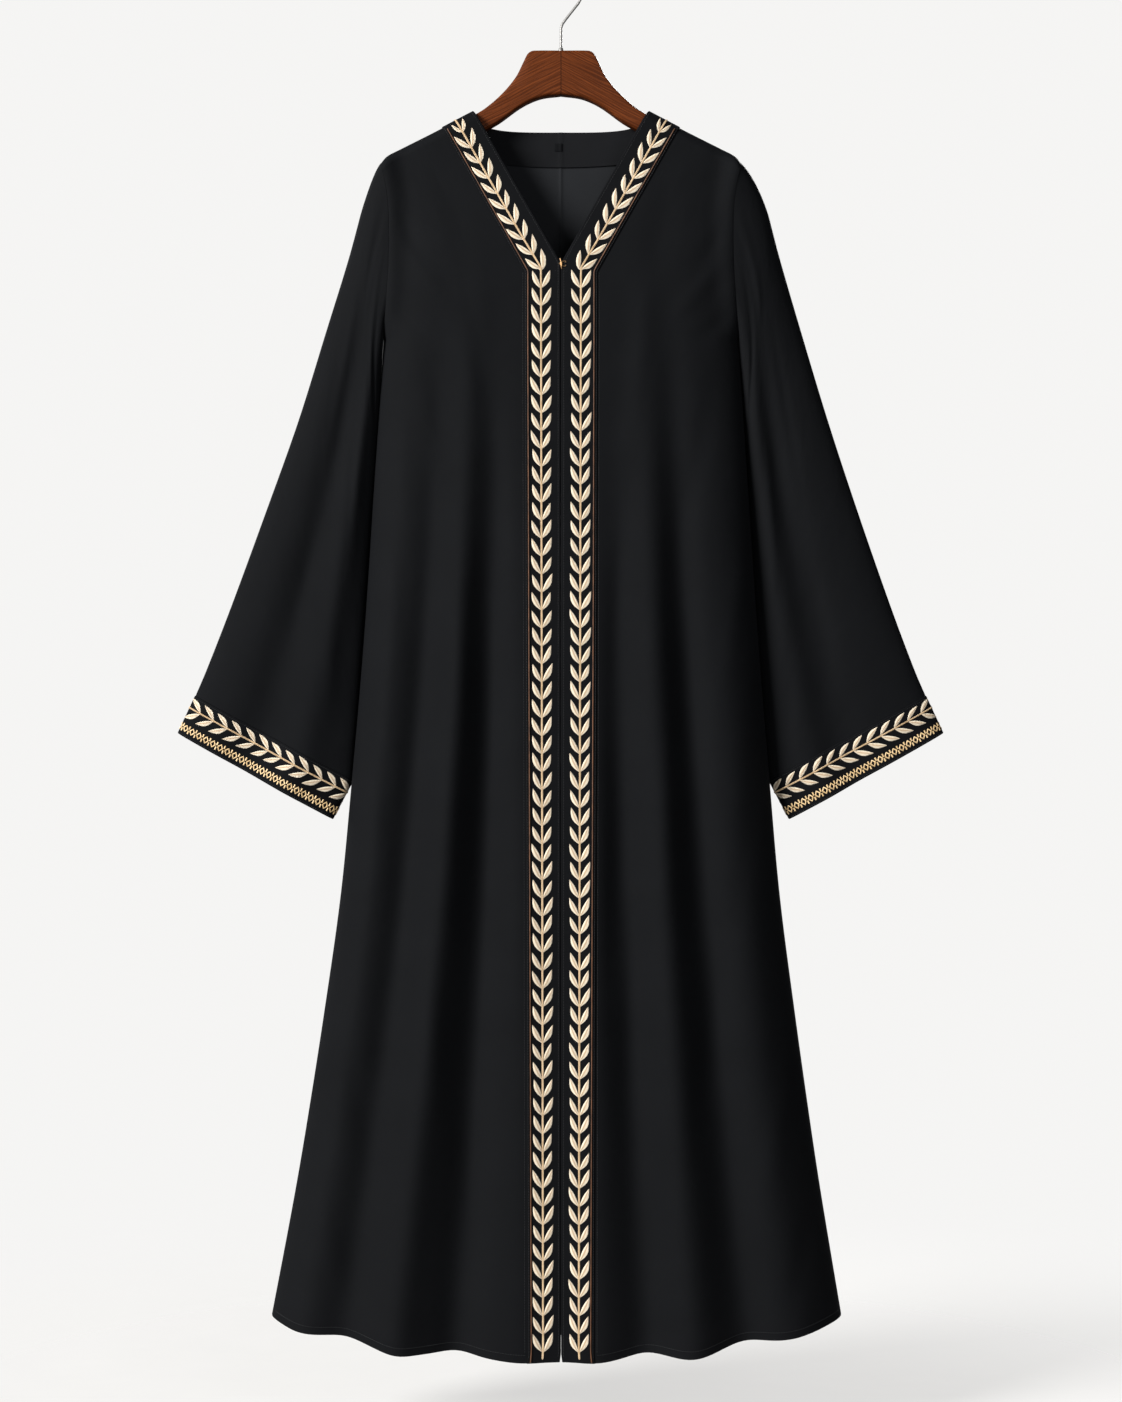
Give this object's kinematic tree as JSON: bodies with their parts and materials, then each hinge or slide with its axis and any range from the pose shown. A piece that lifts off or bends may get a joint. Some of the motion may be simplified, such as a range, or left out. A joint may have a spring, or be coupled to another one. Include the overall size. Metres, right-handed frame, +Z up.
{
  "type": "abaya on a wooden hanger",
  "caption": "Long open-front black abaya with embroidered front bands and cuffs, hanging from a wooden hanger with a wire hook.",
  "frame": {"origin": "the point under the crown of the hanger's hook that bears on a rail", "axes": "+X to the wearer's left, +Y to the garment's back, +Z up"},
  "size_m": [0.8752, 0.1546, 1.5729],
  "materials": {
    "crepe": "matt black crepe with a soft drape",
    "band_cord": "twisted copper-brown cord",
    "leaf_thread": "cream and tan satin-stitched thread",
    "stem_thread": "pale gold chain-stitched thread",
    "ornament_thread": "old-gold metallic thread",
    "closure": "satin copper-gold",
    "hanger_wood": "red-brown stained wood, satin varnish",
    "hanger_wire": "bright nickel"
  },
  "bodies": {
    "root": {"front_right": "crepe", "front_left": "crepe", "back_right": "crepe", "back_left": "crepe", "front_band_right": "crepe", "band_cord_right": "band_cord", "front_band_left": "crepe", "band_cord_left": "band_cord", "sleeve_right": "crepe", "cuff_right": "crepe", "sleeve_left": "crepe", "cuff_left": "crepe", "back_neck_facing": "crepe", "neck_tab": "crepe", "closure_eye": "closure", "closure_hook": "closure", "hanger_arm_right": "hanger_wood", "hanger_arm_left": "hanger_wood", "hanger_hook": "hanger_wire", "hanger_ferrule": "hanger_wire"}
  },
  "joints": []
}
